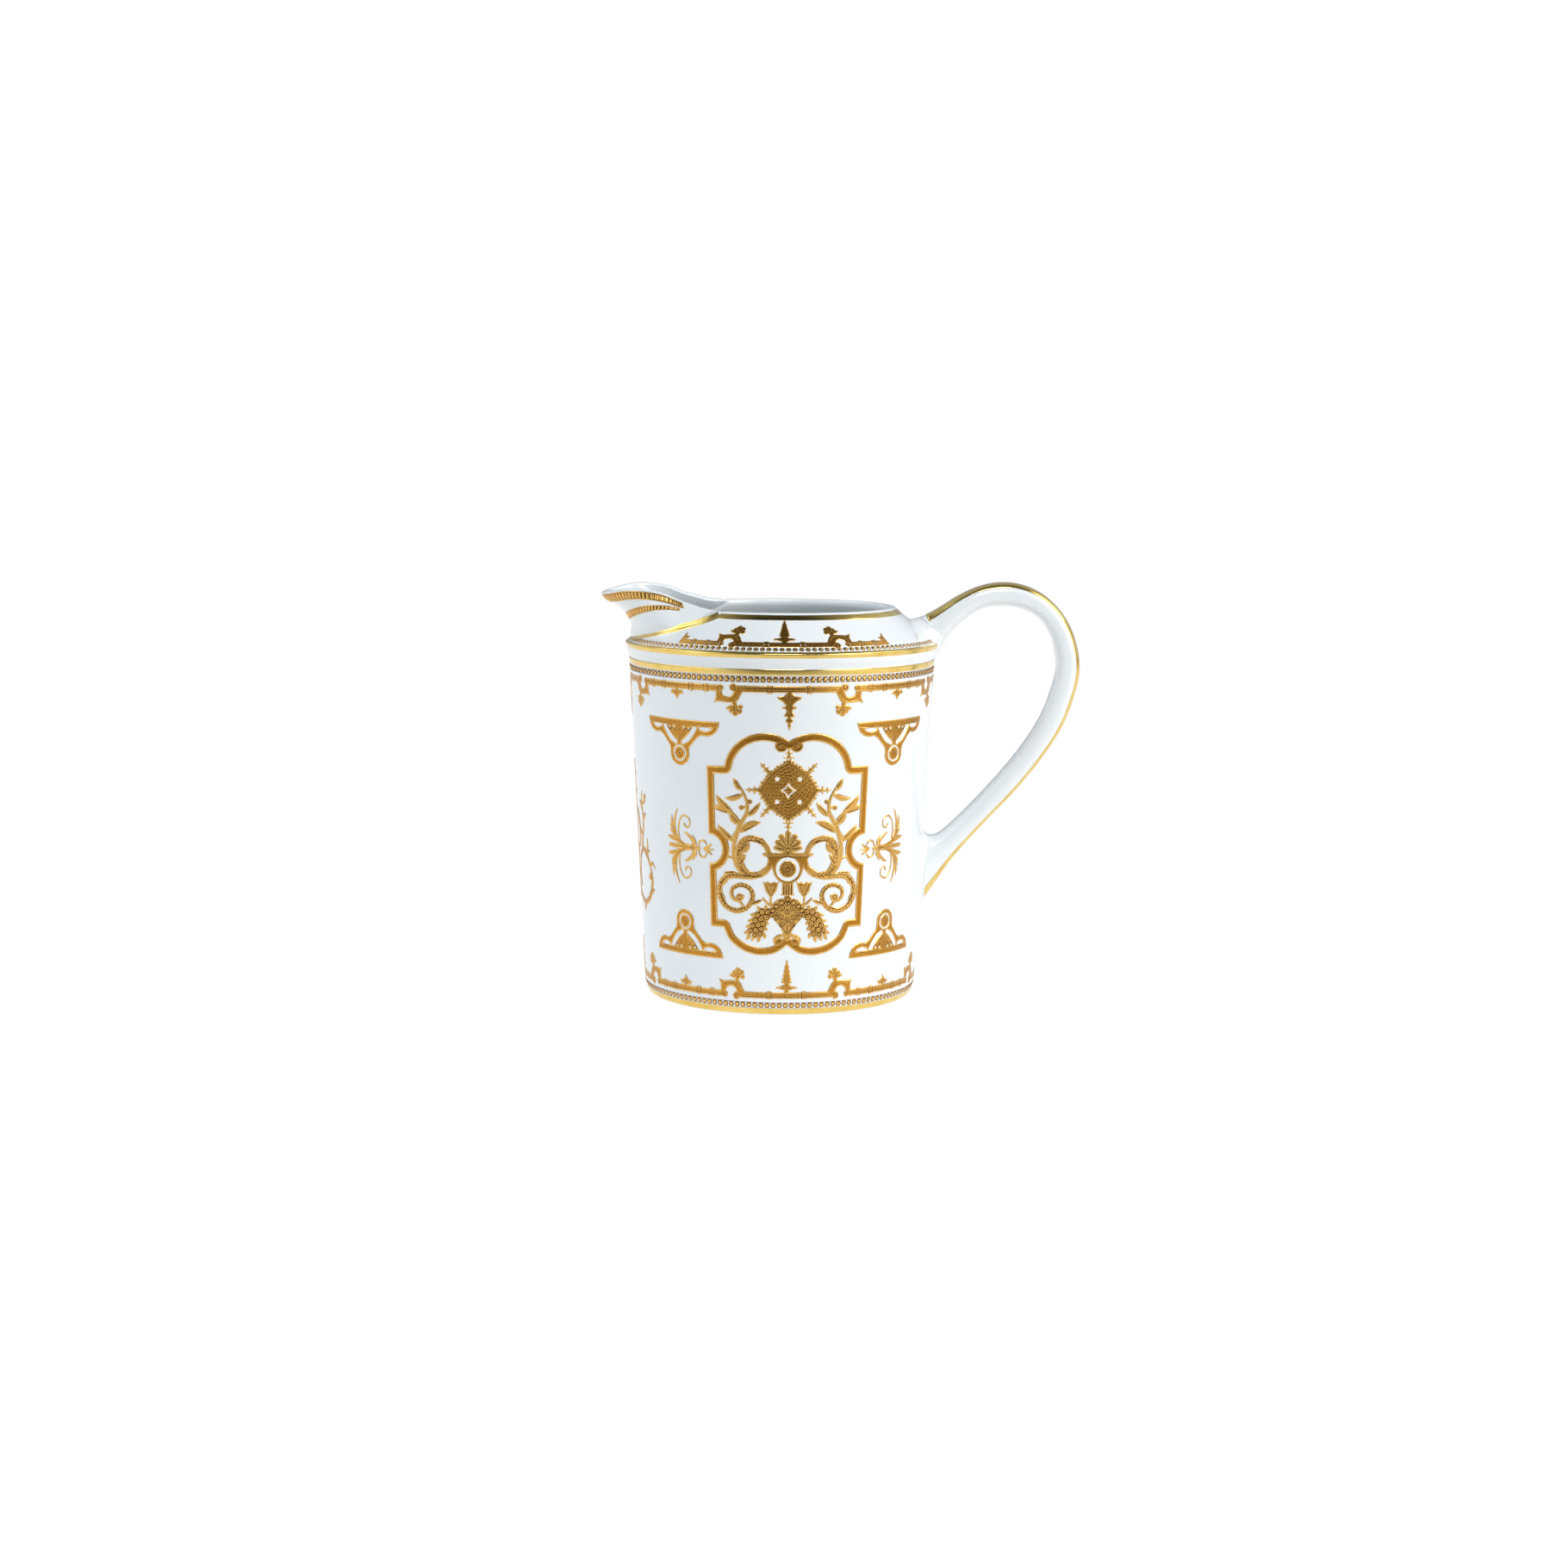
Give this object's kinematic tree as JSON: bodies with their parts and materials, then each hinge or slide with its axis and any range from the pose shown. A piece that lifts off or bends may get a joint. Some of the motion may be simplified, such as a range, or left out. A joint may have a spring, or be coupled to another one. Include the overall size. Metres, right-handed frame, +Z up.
{
  "type": "cream jug",
  "caption": "Tapered porcelain cream jug with a wide pouring lip, a strap handle, gilt bands and fired-on gold scroll ornament.",
  "frame": {"origin": "on the plane the foot ring stands on, under the middle of the whole jug's box", "axes": "+Z up; the handle points to +X and the pouring lip to -X; the front cartouche faces -Y"},
  "size_m": [0.1164, 0.0764, 0.101],
  "materials": {
    "porcelain": "gloss white glaze",
    "polished_gold": "bright burnished gold",
    "etched_gold": "fired transfer gold, dull relief with bright edges"
  },
  "bodies": {
    "root": {"back_cartouche_frame": "etched_gold", "back_cartouche_ornament": "etched_gold", "back_left_palmette": "etched_gold", "back_lower_left_bracket": "etched_gold", "back_lower_right_bracket": "etched_gold", "back_right_palmette": "etched_gold", "back_shoulder_bead_row": "etched_gold", "back_shoulder_strapwork": "etched_gold", "back_upper_left_bracket": "etched_gold", "back_upper_right_bracket": "etched_gold", "body": "porcelain", "collar_gilt_band": "polished_gold", "foot_bead_row": "etched_gold", "foot_gilt_band": "polished_gold", "foot_strapwork": "etched_gold", "front_cartouche_frame": "etched_gold", "front_cartouche_ornament": "etched_gold", "front_left_palmette": "etched_gold", "front_lower_left_bracket": "etched_gold", "front_lower_right_bracket": "etched_gold", "front_right_palmette": "etched_gold", "front_shoulder_bead_row": "etched_gold", "front_shoulder_strapwork": "etched_gold", "front_upper_left_bracket": "etched_gold", "front_upper_right_bracket": "etched_gold", "handle": "porcelain", "handle_gilt_stripe": "polished_gold", "handle_lower_slip_joint": "porcelain", "handle_upper_slip_joint": "porcelain", "mouth_gilt_line": "polished_gold", "spout": "porcelain", "spout_lip_rope": "etched_gold", "spout_seam_gilt_line": "polished_gold", "spout_side_spray": "etched_gold", "spout_slip_joint": "porcelain", "spout_throat_rope": "etched_gold", "upper_bead_row": "etched_gold", "upper_gilt_band": "polished_gold", "upper_strapwork": "etched_gold"}
  },
  "joints": []
}
